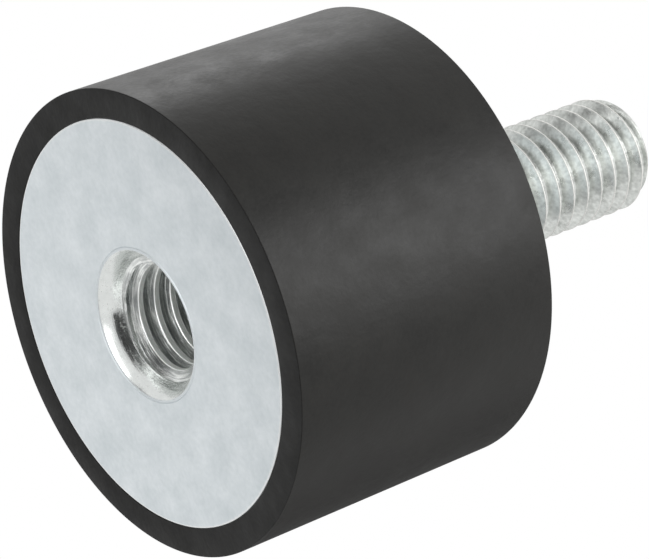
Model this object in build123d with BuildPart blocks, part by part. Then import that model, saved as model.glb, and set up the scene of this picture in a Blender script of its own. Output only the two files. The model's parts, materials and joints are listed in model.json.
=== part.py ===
from build123d import *
import os

# Cylindrical rubber buffer with a threaded hole in one end and a threaded stud on the other.
# Millimetres. Origin at the centre of the face with the threaded hole, on which the buffer
# stands, and +Z up the axis, through the rubber to the tip of the stud.

# Rubber cylinder
body_diameter = 30.0
body_height = 20.0
body_rim_chamfer = 0.25

# Steel end discs, let flush into the rubber at both ends
plate_diameter = 26.2
plate_thickness = 2.0
plate_rim_chamfer = 0.15

# Metric coarse thread of the hole and of the stud: the nominal size and the tapping size
thread_diameter = 8.0
tapping_diameter = 6.8

# Threaded bush, swaged into the disc at the lower end and closed at the bottom of its bore
bush_length = 10.0
bush_barrel_diameter = 12.4
bush_end_chamfer = 0.8
bush_bore_depth = 8.5
bush_collar_diameter = 9.0
bush_collar_flare = 0.5
bush_mouth_diameter = 8.5
bush_mouth_depth = 0.8
bush_mouth_radius = 0.65

# Stud with a flat head behind the upper disc and a wider seat that is pressed into it
stud_length = 20.0
stud_tip_chamfer = 0.85
stud_head_diameter = 13.0
stud_head_height = 2.2
stud_head_chamfer = 0.5
stud_seat_diameter = 8.6

# Worked out from the sizes above
body_radius = body_diameter / 2
plate_radius = plate_diameter / 2
thread_radius = thread_diameter / 2
tapping_radius = tapping_diameter / 2
barrel_radius = bush_barrel_diameter / 2
collar_radius = bush_collar_diameter / 2
mouth_radius = bush_mouth_diameter / 2
head_radius = stud_head_diameter / 2
seat_radius = stud_seat_diameter / 2
upper_seat = body_height - plate_thickness
head_underside = upper_seat - stud_head_height
stud_tip = body_height + stud_length
lead_in_end = bush_mouth_depth + mouth_radius - tapping_radius

os.makedirs("parts", exist_ok=True)


def corner(section, radius, height):
    """The corner of a half section that lies nearest to a radius and a height."""
    return section.vertices().sort_by_distance((radius, height))[0]


def rim(part, radius, height):
    """The circular edge round the axis that lies nearest to a radius and a height."""
    circles = part.edges().filter_by(GeomType.CIRCLE)
    return circles.sort_by(lambda e: abs(e.radius - radius) + abs(e.center().Z - height))[0]


# Disc with the threaded hole: a blanked steel disc whose hole is countersunk from the outside
# to take the flare of the bush's collar.
with BuildPart() as female_plate:
    with BuildSketch(Plane.XY):
        Circle(plate_radius)
    extrude(amount=plate_thickness)
    Hole(collar_radius)
    chamfer(rim(female_plate, collar_radius, 0), bush_collar_flare)
    chamfer(rim(female_plate, plate_radius, 0), plate_rim_chamfer)

# Threaded bush: the barrel bears on the inside of the disc, and the collar passes through it
# and is flared flush with the face. The mouth is rolled over, and a lead-in opens the thread.
with BuildPart() as threaded_bush:
    with BuildSketch(Plane.XZ) as bush_section:
        with BuildLine():
            Polyline(
                (mouth_radius, 0),
                (collar_radius + bush_collar_flare, 0),
                (collar_radius, bush_collar_flare),
                (collar_radius, plate_thickness),
                (barrel_radius, plate_thickness),
                (barrel_radius, bush_length),
                (0, bush_length),
                (0, bush_bore_depth),
                (tapping_radius, bush_bore_depth),
                (tapping_radius, lead_in_end),
                (mouth_radius, bush_mouth_depth),
                close=True,
            )
        make_face()
        fillet(corner(bush_section, mouth_radius, 0), bush_mouth_radius)
        chamfer(corner(bush_section, barrel_radius, bush_length), bush_end_chamfer)
    revolve(axis=Axis.Z)

# Disc with the stud: the same blank, with a plain hole for the seat of the stud.
with BuildPart() as male_plate:
    with BuildSketch(Plane.XY.offset(upper_seat)):
        Circle(plate_radius)
        Circle(seat_radius, mode=Mode.SUBTRACT)
    extrude(amount=plate_thickness)
    chamfer(rim(male_plate, plate_radius, body_height), plate_rim_chamfer)

# Stud: its flat head bears on the inside of the disc, its seat fills the hole level with the
# face, and its thread starts there.
with BuildPart() as stud:
    with BuildSketch(Plane.XY.offset(head_underside)):
        Circle(head_radius)
    extrude(amount=stud_head_height)
    chamfer(rim(stud, head_radius, head_underside), stud_head_chamfer)
    with BuildSketch(Plane.XY.offset(upper_seat)):
        Circle(seat_radius)
    extrude(amount=plate_thickness)
    with BuildSketch(Plane.XY.offset(body_height)):
        Circle(thread_radius)
    extrude(amount=stud_length)
    chamfer(rim(stud, thread_radius, stud_tip), stud_tip_chamfer)

# Rubber: moulded in one piece round both discs, the bush's barrel and the stud's head, and
# bonded to them face to face. It covers the rims of the discs and ends level with their faces.
with BuildPart() as rubber_body:
    with BuildSketch(Plane.XZ) as rubber_section:
        with BuildLine():
            Polyline(
                (plate_radius, 0),
                (body_radius, 0),
                (body_radius, body_height),
                (plate_radius, body_height),
                (plate_radius, upper_seat),
                (head_radius, upper_seat),
                (head_radius, head_underside),
                (0, head_underside),
                (0, bush_length),
                (barrel_radius, bush_length),
                (barrel_radius, plate_thickness),
                (plate_radius, plate_thickness),
                close=True,
            )
        make_face()
        chamfer(corner(rubber_section, body_radius, 0), body_rim_chamfer)
        chamfer(corner(rubber_section, body_radius, body_height), body_rim_chamfer)
        chamfer(corner(rubber_section, head_radius, head_underside), stud_head_chamfer)
        chamfer(corner(rubber_section, barrel_radius, bush_length), bush_end_chamfer)
    revolve(axis=Axis.Z)

rubber_body.part.label = "rubber_body"
female_plate.part.label = "female_plate"
threaded_bush.part.label = "threaded_bush"
male_plate.part.label = "male_plate"
stud.part.label = "stud"

export_step(rubber_body.part, "parts/rubber_body.step")
export_step(female_plate.part, "parts/female_plate.step")
export_step(threaded_bush.part, "parts/threaded_bush.step")
export_step(male_plate.part, "parts/male_plate.step")
export_step(stud.part, "parts/stud.step")
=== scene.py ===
import json
import math

import bpy
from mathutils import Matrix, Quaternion, Vector


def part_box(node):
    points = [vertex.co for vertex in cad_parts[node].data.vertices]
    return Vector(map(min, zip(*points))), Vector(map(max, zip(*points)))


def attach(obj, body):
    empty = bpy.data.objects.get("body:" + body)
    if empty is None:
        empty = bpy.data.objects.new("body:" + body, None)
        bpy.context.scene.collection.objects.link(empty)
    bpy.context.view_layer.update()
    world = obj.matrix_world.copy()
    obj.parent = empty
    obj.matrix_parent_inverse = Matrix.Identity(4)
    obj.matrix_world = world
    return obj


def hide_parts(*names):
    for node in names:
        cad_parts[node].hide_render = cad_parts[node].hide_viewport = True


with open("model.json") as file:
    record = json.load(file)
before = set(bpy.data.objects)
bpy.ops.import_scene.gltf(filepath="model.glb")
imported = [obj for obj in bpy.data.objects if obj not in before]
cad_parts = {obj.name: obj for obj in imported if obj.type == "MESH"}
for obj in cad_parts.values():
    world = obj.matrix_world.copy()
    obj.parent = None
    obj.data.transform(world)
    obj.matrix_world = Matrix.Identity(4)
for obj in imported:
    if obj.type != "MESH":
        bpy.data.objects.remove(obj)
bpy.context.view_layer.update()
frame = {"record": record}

# The disc of the hole end: a disc of 2 mm steel sheet, blanked so that its rim is slightly
# rounded, and countersunk for the collar of the bush. It is plated with zinc and passivated,
# which leaves it a matt blue-grey, with faint clouds.
mm = 0.001
disc_radius, _, disc_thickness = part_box("female_plate")[1]
disc_rim = 0.08 * mm
collar_radius = 4.5 * mm
collar_flare = 0.5 * mm
face_edge = 0.04 * mm
merge_distance = 0.0005 * mm


class Wire:
    """One socket of a node tree. Sums on wires add Math nodes, and node() adds any other node."""

    def __init__(self, tree, socket=None):
        self.tree = tree
        self.socket = socket

    def node(self, kind, settings, sockets, output=0):
        made = self.tree.nodes.new(kind)
        for name, value in settings.items():
            setattr(made, name, value)
        for name, value in sockets.items():
            if isinstance(value, Wire):
                self.tree.links.new(value.socket, made.inputs[name])
            else:
                made.inputs[name].default_value = value
        return Wire(self.tree, made.outputs[output] if made.outputs else None)

    def sum(self, operation, first, second=0.0):
        return self.node("ShaderNodeMath", {"operation": operation}, {0: first, 1: second})

    def __add__(self, other):
        return self.sum("ADD", self, other)

    def __radd__(self, other):
        return self.sum("ADD", other, self)

    def __sub__(self, other):
        return self.sum("SUBTRACT", self, other)

    def __rsub__(self, other):
        return self.sum("SUBTRACT", other, self)

    def __mul__(self, other):
        return self.sum("MULTIPLY", self, other)

    def __rmul__(self, other):
        return self.sum("MULTIPLY", other, self)

    def __truediv__(self, other):
        return self.sum("DIVIDE", self, other)

    def noise(self, place, scale, detail=3.0):
        """Soft marks from 0 to 1, with about as many to the metre as the scale says."""
        return self.node("ShaderNodeTexNoise", {},
                         {"Vector": place, "Scale": scale, "Detail": detail})

    def between(self, low, high):
        """0 where this value is at low or under, 1 where it is at high or over."""
        return self.node("ShaderNodeMapRange", {"clamp": True},
                         {"Value": self, "From Min": low, "From Max": high})

    def blend(self, low, high):
        """The colour low where this value is 0, and high where it is 1."""
        return self.node("ShaderNodeMix", {"data_type": "RGBA"}, {0: self, 6: low, 7: high}, 2)


def new_material(name):
    """An empty material, with its first wire and the place on the piece."""
    material = bpy.data.materials.new(name)
    material.use_nodes = True
    material.node_tree.nodes.clear()
    wire = Wire(material.node_tree)
    return material, wire, wire.node("ShaderNodeTexCoord", {}, {}, "Object")


def finish_material(wire, sockets):
    """Gives a material its surface, with the values and wires of its sockets."""
    surface = wire.node("ShaderNodeBsdfPrincipled", {}, sockets)
    wire.node("ShaderNodeOutputMaterial", {}, {"Surface": surface})


def round_the_axis(wire, place):
    """How far a place is from the axis, how far round it in turns, and how far up it."""
    parts = wire.node("ShaderNodeSeparateXYZ", {}, {"Vector": place})
    x, y, height = (Wire(wire.tree, socket) for socket in parts.socket.node.outputs)
    return wire.sum("SQRT", x * x + y * y), wire.sum("ARCTAN2", y, x) / math.tau, height


def drawn(name, section):
    """A half section drawn from point to point, each a radius and a height."""
    bpy.ops.object.select_all(action="DESELECT")
    radius, height = section[0]
    bpy.ops.mesh.primitive_plane_add(size=mm, location=(radius, 0, height))
    piece = bpy.context.object
    piece.name = piece.data.name = name
    bpy.ops.object.transform_apply()
    bpy.ops.object.mode_set(mode="EDIT")
    bpy.ops.mesh.select_mode(type="VERT")
    bpy.ops.mesh.select_all(action="SELECT")
    bpy.ops.mesh.merge(type="CENTER")
    for next_radius, next_height in section[1:]:
        move = (next_radius - radius, 0, next_height - height)
        bpy.ops.mesh.extrude_vertices_move(TRANSFORM_OT_translate={"value": move})
        radius, height = next_radius, next_height
    return piece


def turned(name, section, sides=256):
    """A piece turned on a lathe: its half section is spun about the axis."""
    piece = drawn(name, section)
    bpy.ops.mesh.select_all(action="SELECT")
    bpy.ops.mesh.spin(steps=sides, angle=math.tau, center=(0, 0, 0), axis=(0, 0, 1))
    bpy.ops.mesh.select_all(action="SELECT")
    bpy.ops.mesh.remove_doubles(threshold=merge_distance)
    bpy.ops.object.mode_set(mode="OBJECT")
    return piece


def close_up(piece, smooth_angle=30):
    """Merges the doubles, turns the faces outwards and smooths all but the sharp edges."""
    bpy.ops.object.select_all(action="DESELECT")
    piece.select_set(True)
    bpy.context.view_layer.objects.active = piece
    bpy.ops.object.mode_set(mode="EDIT")
    bpy.ops.mesh.select_all(action="SELECT")
    bpy.ops.mesh.remove_doubles(threshold=merge_distance)
    bpy.ops.mesh.normals_make_consistent(inside=False)
    bpy.ops.object.mode_set(mode="OBJECT")
    bpy.ops.object.shade_smooth_by_angle(angle=math.radians(smooth_angle))


def arc(centre, radius, start, end, steps=8):
    """Points of a half section along an arc, from one angle in degrees to another."""
    turns = [math.radians(start + (end - start) * step / steps) for step in range(steps + 1)]
    return [(centre[0] + radius * math.cos(t), centre[1] + radius * math.sin(t)) for t in turns]


hole_disc = turned("hole_end_disc", [
    (collar_radius + collar_flare, face_edge), (collar_radius + collar_flare + face_edge, 0),
    *arc((disc_radius - disc_rim, disc_rim), disc_rim, -90, 0, 5),
    (disc_radius, disc_thickness), (collar_radius, disc_thickness),
    (collar_radius, collar_flare), (collar_radius + collar_flare, face_edge)])
close_up(hole_disc)

dull_zinc = (0.63, 0.68, 0.70, 1)
pale_zinc = (0.785, 0.825, 0.845, 1)
rubbed_zinc = (0.84, 0.86, 0.86, 1)
bump_depth = 0.02 * mm
matt_zinc, wire, place = new_material("matt_zinc")
clouds = wire.noise(place, 380.0, 4.0)
specks = wire.noise(place, 2600.0, 2.0)
grain = wire.noise(place, 5000.0, 2.0)
reach, _, _ = round_the_axis(wire, place)
rubbed = (reach + 0.1 * mm * specks).between(disc_radius - 0.12 * mm, disc_radius - 0.02 * mm)
tone = (0.65 * clouds + 0.35 * specks).between(0.33, 0.67)
finish_material(wire, {
    "Base Color": rubbed.blend(tone.blend(dull_zinc, pale_zinc), rubbed_zinc),
    "Metallic": 1.0,
    "Roughness": 0.42 + 0.12 * specks,
    "Normal": wire.node("ShaderNodeBump", {}, {
        "Height": grain + 0.6 * specks, "Strength": 0.2, "Distance": bump_depth})})
hole_disc.data.materials.append(matt_zinc)
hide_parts("female_plate")
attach(hole_disc, "root")

# The threaded bush: a turned steel bush, tapped with a coarse metric thread. Its collar stands
# through the disc and is rolled over into the countersink, flush with the face, which leaves a
# smooth round mouth in front of the thread. It is bright zinc, streaked by the tap.
barrel_radius, _, bush_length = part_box("threaded_bush")[1]
mounts = {mount["name"]: mount for mount in frame["record"]["mounts"]}
bore_radius = mounts["threaded_hole"]["dims"]["r_mm"] * mm
thread_radius = mounts["threaded_stud"]["dims"]["r_mm"] * mm
pitch = 1.25 * mm
thread_sides = 192
bush_chamfer = 0.8 * mm
bore_end = 8.5 * mm
mouth_radius = thread_radius + 0.05 * mm
mouth_depth = 1.3 * mm
roll_centre = (6.392 * mm, 1.709 * mm)
roll_radius = 2.321 * mm
lip_centre = (4.844 * mm, 0.06 * mm)
lip_radius = 0.06 * mm
lead_in_slope = 3.0
bush_thread_angle = math.radians(-176)


def flank(start, end, steps=3):
    """Points down a straight flank, close enough for a cone to cut through it cleanly."""
    return [(start[0] + (end[0] - start[0]) * step / steps,
             start[1] + (end[1] - start[1]) * step / steps) for step in range(steps + 1)]


def helix(name, half_tooth, low, high, start_angle):
    """A thread as a tube: half a tooth, from the middle of its crest to the middle of the next
    valley, is mirrored, screwed up turn by turn and cut off square at low and high. Each point
    of the half tooth is a share of the pitch and a radius."""
    tooth = half_tooth + [(1 - along, radius) for along, radius in reversed(half_tooth[:-1])]
    first = math.floor(low / pitch) - 2
    piece = drawn(name, [(radius, (first + along) * pitch) for along, radius in tooth])
    bpy.ops.object.mode_set(mode="OBJECT")
    bpy.ops.object.modifier_add(type="SCREW")
    screw = piece.modifiers[0]
    screw.steps = screw.render_steps = thread_sides
    screw.screw_offset = pitch
    screw.iterations = math.ceil(high / pitch) - first + 1
    bpy.ops.object.modifier_apply(modifier=screw.name)
    bpy.ops.object.mode_set(mode="EDIT")
    bpy.ops.mesh.select_all(action="SELECT")
    bpy.ops.transform.rotate(value=-start_angle, orient_axis="Z", center_override=(0, 0, 0))
    bpy.ops.mesh.remove_doubles(threshold=merge_distance)
    for level, side in ((low, {"clear_inner": True}), (high, {"clear_outer": True})):
        bpy.ops.mesh.select_all(action="SELECT")
        bpy.ops.mesh.bisect(plane_co=(0, 0, level), plane_no=(0, 0, 1), threshold=0.0001 * mm,
                            **side)
    bpy.ops.object.mode_set(mode="OBJECT")
    return piece


def reshaped(thread, radius_at):
    """Moves each point of a thread to the radius given for its own radius and height."""
    for vertex in thread.data.vertices:
        across = vertex.co.to_2d()
        wanted = radius_at(across.length, vertex.co.z)
        vertex.co.x, vertex.co.y = across * (wanted / across.length)


def lead_in(radius, height):
    """Opens the thread with a cone, from the mouth inwards."""
    return max(radius, mouth_radius - lead_in_slope * (height - mouth_depth))


def select_loops(piece, height):
    """Selects the open edges of a piece that lie at a height, in edit mode."""
    bpy.ops.object.select_all(action="DESELECT")
    piece.select_set(True)
    bpy.context.view_layer.objects.active = piece
    bpy.ops.object.mode_set(mode="EDIT")
    bpy.ops.mesh.select_mode(type="EDGE")
    bpy.ops.mesh.select_all(action="DESELECT")
    bpy.ops.mesh.select_non_manifold(extend=False, use_wire=False, use_multi_face=False,
                                     use_non_contiguous=False, use_verts=False)
    bpy.ops.object.mode_set(mode="OBJECT")
    points = piece.data.vertices
    for edge in piece.data.edges:
        if edge.select:
            edge.select = all(abs(points[i].co.z - height) < 0.002 * mm for i in edge.vertices)
    bpy.ops.object.mode_set(mode="EDIT")


def joined(piece, thread, height, end):
    """Joins a thread to a turned piece at a height, and closes the thread's far end."""
    bpy.ops.object.select_all(action="DESELECT")
    thread.select_set(True)
    piece.select_set(True)
    bpy.context.view_layer.objects.active = piece
    bpy.ops.object.join()
    select_loops(piece, end)
    bpy.ops.mesh.edge_face_add()
    bpy.ops.object.mode_set(mode="OBJECT")
    select_loops(piece, height)
    bpy.ops.mesh.bridge_edge_loops()
    bpy.ops.object.mode_set(mode="OBJECT")


bore_thread = helix("bore_thread", [
    (0.0, bore_radius), (0.13, bore_radius),
    *flank((0.18, bore_radius + 0.06 * mm), (0.451, mouth_radius)), (0.5, mouth_radius)],
    mouth_depth, bore_end, bush_thread_angle)
reshaped(bore_thread, lead_in)
bush = turned("tapped_bush", [
    (mouth_radius, mouth_depth),
    *arc(roll_centre, roll_radius, 202, 226, 12),
    *arc(lip_centre, lip_radius, 235, 270, 4),
    (collar_radius + collar_flare - face_edge, 0),
    (collar_radius + collar_flare, face_edge),
    (collar_radius, collar_flare),
    (collar_radius, disc_thickness), (barrel_radius, disc_thickness),
    (barrel_radius, bush_length - bush_chamfer), (barrel_radius - bush_chamfer, bush_length),
    (0, bush_length)], thread_sides)
joined(bush, bore_thread, mouth_depth, bore_end)
close_up(bush, smooth_angle=12)

tap_dark = (0.47, 0.49, 0.485, 1)
# The bright zinc is the light end of the tap streaks, and also a painted highlight on the crest
# lands of the thread.
streak_and_highlight_bright = (0.93, 0.95, 0.93, 1)
collar_zinc = (0.66, 0.70, 0.72, 1)
mark_length = 1.2 * mm
tapped_zinc, wire, place = new_material("tapped_zinc")
reach, turn, height = round_the_axis(wire, place)
tap_marks = wire.noise(wire.node("ShaderNodeCombineXYZ", {}, {
    "X": reach, "Y": turn * mark_length, "Z": height - turn * pitch}), 9000.0)
blotches = wire.noise(place, 900.0, 4.0)
scuffs = (0.6 * wire.noise(place, 4500.0, 3.0) + 0.4 * tap_marks).between(0.51, 0.65)
lip_edge = 4.84 * mm
face = reach.between(lip_edge - lip_radius, lip_edge) * (1 - height.between(face_edge, 0.1 * mm))
thread = height.between(mouth_depth - 0.1 * mm, mouth_depth + 0.1 * mm)
# The crest lands of the thread are painted at the bright end of the zinc, a painted highlight,
# and are also made rougher.
painted_highlight_land = 1 - reach.between(bore_radius + 0.01 * mm, bore_radius + 0.05 * mm)
streaks = 0.35 * blotches + 0.65 * tap_marks
tone = streaks.between(0.43, 0.58) * thread + painted_highlight_land + (0.22 + 0.5 * blotches) * (1 - thread)
finish_material(wire, {
    "Base Color": face.blend(tone.blend(tap_dark, streak_and_highlight_bright), collar_zinc),
    "Metallic": 1 - 0.2 * thread,
    "Roughness": 0.12 + 0.12 * blotches + 0.25 * face + 0.05 * thread + 0.3 * painted_highlight_land
                 + 0.2 * scuffs * (1 - thread),
    "Normal": wire.node("ShaderNodeBump", {}, {
        "Height": tap_marks * (0.7 + 2.3 * thread) + 0.3 * blotches, "Strength": 0.5,
        "Distance": bump_depth})})
bush.data.materials.append(tapped_zinc)
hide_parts("threaded_bush")
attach(bush, "root")

# The disc of the stud end: the same blank, with a plain hole for the seat of the stud, and the
# same matt zinc.
body_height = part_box("male_plate")[1].z
stud_disc_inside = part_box("male_plate")[0].z
seat_radius = 4.3 * mm
stud_disc = turned("stud_end_disc", [
    (seat_radius, body_height),
    *arc((disc_radius - disc_rim, body_height - disc_rim), disc_rim, 90, 0, 5),
    (disc_radius, stud_disc_inside), (seat_radius, stud_disc_inside),
    (seat_radius, body_height)])
close_up(stud_disc)
stud_disc.data.materials.append(matt_zinc)
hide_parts("male_plate")
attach(stud_disc, "root")

# The stud: cold-headed steel, its flat head behind the disc and its seat pressed into the disc.
# Its thread is rolled, with narrow crests, and runs down to the disc, and its tip is tapered. It
# is bright zinc, marked where studs lay against each other in the plating barrel.
head_radius, _, stud_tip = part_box("stud")[1]
head_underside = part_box("stud")[0].z
head_chamfer = 0.5 * mm
thread_depth = 0.6134 * pitch
crest_radius = thread_radius - 0.06 * mm
valley_radius = thread_radius - thread_depth
stud_thread_angle = math.radians(-45)
tip_section = [(0.0, 2.95 * mm), (0.25 * mm, 3.4 * mm), (0.7 * mm, 3.71 * mm),
               (1.18 * mm, crest_radius)]


def tapered_tip(radius, height):
    """Keeps the thread inside the cones of the tip."""
    below = stud_tip - height
    for (near, narrow), (far, wide) in zip(tip_section, tip_section[1:]):
        if near <= below < far:
            return min(radius, narrow + (wide - narrow) * (below - near) / (far - near))
    return radius


shank = helix("stud_thread", [
    (0.0, crest_radius), *flank((0.02, crest_radius), (0.385, valley_radius + 0.05 * mm)),
    (0.5, valley_radius)], body_height, stud_tip, stud_thread_angle)
reshaped(shank, tapered_tip)
stud = turned("zinc_stud", [
    (seat_radius, body_height), (seat_radius, stud_disc_inside),
    (head_radius, stud_disc_inside), (head_radius, head_underside + head_chamfer),
    (head_radius - head_chamfer, head_underside), (0, head_underside)], thread_sides)
joined(stud, shank, body_height, stud_tip)
close_up(stud, smooth_angle=12)

valley_zinc = (0.40, 0.415, 0.395, 1)
flank_zinc = (0.77, 0.79, 0.765, 1)
crest_zinc = (0.73, 0.725, 0.70, 1)
rolled_zinc, wire, place = new_material("rolled_zinc")
reach, _, _ = round_the_axis(wire, place)
blotches = wire.noise(place, 700.0, 4.0)
specks = wire.noise(place, 3500.0)
worn = (reach + 0.08 * mm * specks).between(crest_radius - 0.03 * mm, crest_radius + 0.04 * mm)
tone = (0.45 * blotches + 0.55 * specks).between(0.32, 0.68)
finish_material(wire, {
    "Base Color": worn.blend(tone.blend(valley_zinc, flank_zinc), crest_zinc),
    "Metallic": 1.0,
    "Roughness": 0.22 + 0.14 * blotches + 0.38 * worn,
    "Normal": wire.node("ShaderNodeBump", {}, {
        "Height": specks + blotches, "Strength": 0.5, "Distance": bump_depth})})
stud.data.materials.append(rolled_zinc)
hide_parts("stud")
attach(stud, "root")

# The rubber: natural rubber, black, moulded and bonded round both discs, the bush and the head
# of the stud in one shot. It is level with the discs, and its own edges are barely rounded.
body_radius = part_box("rubber_body")[1].x
outer_rim = 0.06 * mm
inner_rim = 0.1 * mm
rubber = turned("rubber_moulding", [
    (disc_radius, disc_thickness),
    *arc((disc_radius + inner_rim, inner_rim), inner_rim, 180, 270, 3),
    *arc((body_radius - outer_rim, outer_rim), outer_rim, -90, 0),
    (body_radius, body_height / 2),
    *arc((body_radius - outer_rim, body_height - outer_rim), outer_rim, 0, 90),
    *arc((disc_radius + inner_rim, body_height - inner_rim), inner_rim, 90, 180, 3),
    (disc_radius, stud_disc_inside), (head_radius, stud_disc_inside),
    (head_radius, head_underside + head_chamfer), (head_radius - head_chamfer, head_underside),
    (0, head_underside)])
inside = turned("rubber_inside", [
    (0, bush_length), (barrel_radius - bush_chamfer, bush_length),
    (barrel_radius, bush_length - bush_chamfer), (barrel_radius, disc_thickness),
    (disc_radius, disc_thickness)])
bpy.ops.object.select_all(action="DESELECT")
inside.select_set(True)
rubber.select_set(True)
bpy.context.view_layer.objects.active = rubber
bpy.ops.object.join()
close_up(rubber)

soot_black = (0.0055, 0.0054, 0.0047, 1)
worn_black = (0.0165, 0.016, 0.0142, 1)
# The deepest black is painted shade on the end faces of the rubber.
painted_shade_black = (0.004, 0.004, 0.0035, 1)
black_rubber, wire, place = new_material("black_rubber")
_, _, height = round_the_axis(wire, place)
clouds = wire.noise(place, 150.0)
patches = wire.noise(place, 520.0, 5.0)
grain = wire.noise(place, 4200.0, 2.0)
tone = (0.35 * clouds + 0.35 * patches + 0.3 * grain).between(0.3, 0.7)
from_middle = wire.sum("ABSOLUTE", height - body_height / 2)
# The end faces of the rubber get painted shade, a deeper black, and are also a little rougher.
shaded_end_face = from_middle.between(body_height / 2 - 0.02 * mm, body_height / 2 - 0.01 * mm)
finish_material(wire, {
    "Base Color": shaded_end_face.blend(tone.blend(soot_black, worn_black), painted_shade_black),
    "Roughness": 0.24 + 0.14 * grain + 0.28 * patches + 0.07 * shaded_end_face,
    "Specular IOR Level": 0.235,
    "Normal": wire.node("ShaderNodeBump", {}, {
        "Height": grain + 12 * patches, "Strength": 0.25, "Distance": bump_depth})})
rubber.data.materials.append(black_rubber)
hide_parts("rubber_body")
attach(rubber, "root")

# The floor: white paper just under the face that the buffer stands on. It shows from above
# only, because the photograph is taken from below the level of that face.
floor_gap = 0.05 * mm
floor_width = 4.0
paper_glow = 0.6
bpy.ops.object.select_all(action="DESELECT")
bpy.ops.mesh.primitive_plane_add(size=floor_width, location=(0, 0, -floor_gap))
floor = bpy.context.object
floor.name = "floor"
white_paper, wire, _ = new_material("white_paper")
camera_ray = wire.node("ShaderNodeLightPath", {}, {}, "Is Camera Ray")
behind = wire.node("ShaderNodeNewGeometry", {}, {}, "Backfacing")
matt = wire.node("ShaderNodeBsdfDiffuse", {}, {"Color": (0.9, 0.9, 0.9, 1)})
white = wire.node("ShaderNodeEmission", {}, {"Color": (1, 1, 1, 1), "Strength": 1.0})
paper = wire.node("ShaderNodeMixShader", {}, {0: paper_glow, 1: matt, 2: white})
clear = wire.node("ShaderNodeBsdfTransparent", {}, {})
from_above = camera_ray * (1 - behind)
surface = wire.node("ShaderNodeMixShader", {}, {0: from_above, 1: clear, 2: paper})
wire.node("ShaderNodeOutputMaterial", {}, {"Surface": surface})
floor.data.materials.append(white_paper)

# The camera looks up at the hole end from below, from 0.23 m away, and is turned so that the
# axis rises to the right. Its place and lens were fitted to the outlines in the photograph,
# whose width and focal length are in pixels.
photo_width = 649
focal_pixels = 3573
aim = Vector((1.25, 0.04, 13.79)) * mm
camera_azimuth = -0.4
camera_elevation = -35.14
camera_distance = 226.3 * mm
camera_roll = 69.26


def placed(thing, azimuth, elevation, distance, roll=0.0):
    """Places a thing at an azimuth, an elevation and a distance from the aim, facing it."""
    side, rise = math.radians(azimuth), math.radians(elevation)
    back = Vector((math.sin(side) * math.cos(rise), -math.cos(side) * math.cos(rise),
                   math.sin(rise)))
    thing.location = aim + back * distance
    thing.rotation_mode = "QUATERNION"
    turn = Quaternion((0, 0, 1), math.radians(roll))
    thing.rotation_quaternion = back.to_track_quat("Z", "Y") @ turn


camera_data = bpy.data.cameras.new("photo_camera")
camera = bpy.data.objects.new("photo_camera", camera_data)
bpy.context.collection.objects.link(camera)
bpy.context.scene.camera = camera
camera_data.sensor_width = 36.0
camera_data.lens = camera_data.sensor_width * focal_pixels / photo_width
camera_data.clip_start = 10 * mm
camera_data.clip_end = 10.0
placed(camera, camera_azimuth, camera_elevation, camera_distance, camera_roll)
bpy.context.scene.view_settings.view_transform = "Standard"

# The light: a white room with three lamps. The side light makes the highlight down the middle of
# the rubber, the rim light the one along its top, and the mouth light fills the end face. Matt
# cards, which only reflections see, give the metal and the rubber their darker parts.
world = bpy.data.worlds.new("studio")
bpy.context.scene.world = world
world.use_nodes = True
world.node_tree.nodes.clear()
wire = Wire(world.node_tree)
seen = wire.node("ShaderNodeLightPath", {}, {}, "Is Camera Ray")
glossy = wire.node("ShaderNodeLightPath", {}, {}, "Is Glossy Ray")
through = wire.node("ShaderNodeLightPath", {}, {}, "Is Transmission Ray")
white_rays = wire.sum("MAXIMUM", wire.sum("MAXIMUM", seen, glossy), through)
room_light = 0.5
level = room_light + (1 - room_light) * white_rays
background = wire.node("ShaderNodeBackground", {}, {"Color": (1, 1, 1, 1), "Strength": level})
wire.node("ShaderNodeOutputWorld", {}, {"Surface": background})


def softbox(name, azimuth, elevation, distance, size, power):
    """A rectangular lamp that faces the buffer."""
    lamp_data = bpy.data.lights.new(name, "AREA")
    lamp_data.shape = "RECTANGLE"
    lamp_data.size, lamp_data.size_y = size
    lamp_data.energy = power
    lamp = bpy.data.objects.new(name, lamp_data)
    bpy.context.collection.objects.link(lamp)
    placed(lamp, azimuth, elevation, distance)


softbox("side_light", azimuth=3, elevation=33, distance=0.5, size=(0.34, 0.38), power=1.85)
softbox("rim_light", azimuth=-117, elevation=25, distance=0.5, size=(0.17, 0.22), power=0.4)
softbox("mouth_light", azimuth=-30, elevation=-58, distance=0.4, size=(0.45, 0.15), power=0.33)


def studio_card(name, azimuth, elevation, distance, size, paint, roll=0.0):
    """A card that shows in reflections only: it is unseen itself and casts no shadow."""
    bpy.ops.object.select_all(action="DESELECT")
    bpy.ops.mesh.primitive_plane_add(size=1.0)
    card = bpy.context.object
    card.name = name
    placed(card, azimuth, elevation, distance, roll)
    card.scale = (*size, 1)
    card.visible_camera = card.visible_diffuse = card.visible_shadow = False
    card.data.materials.append(paint)


def card_paint(name, level):
    """A matt paint, from black at 0 to white at 1."""
    paint, wire, _ = new_material(name)
    matt = wire.node("ShaderNodeBsdfDiffuse", {}, {"Color": (level, level, level, 1)})
    wire.node("ShaderNodeOutputMaterial", {}, {"Surface": matt})
    return paint


black_paint = card_paint("black_paint", 0.02)
front_paint = card_paint("front_paint", 0.05)
pale_paint = card_paint("pale_paint", 0.45)
grey_paint = card_paint("grey_paint", 0.27)
studio_card("far_card", azimuth=150, elevation=35, distance=0.5, size=(0.62, 0.4),
            paint=grey_paint)
studio_card("stud_card", azimuth=-121, elevation=-56, distance=0.4, size=(0.27, 0.27),
            paint=black_paint)
studio_card("under_card", azimuth=140, elevation=-79, distance=0.42, size=(0.47, 0.34),
            paint=pale_paint, roll=-40)
studio_card("front_card", azimuth=-20, elevation=-12, distance=0.5, size=(1.4, 0.25),
            paint=front_paint, roll=-8)
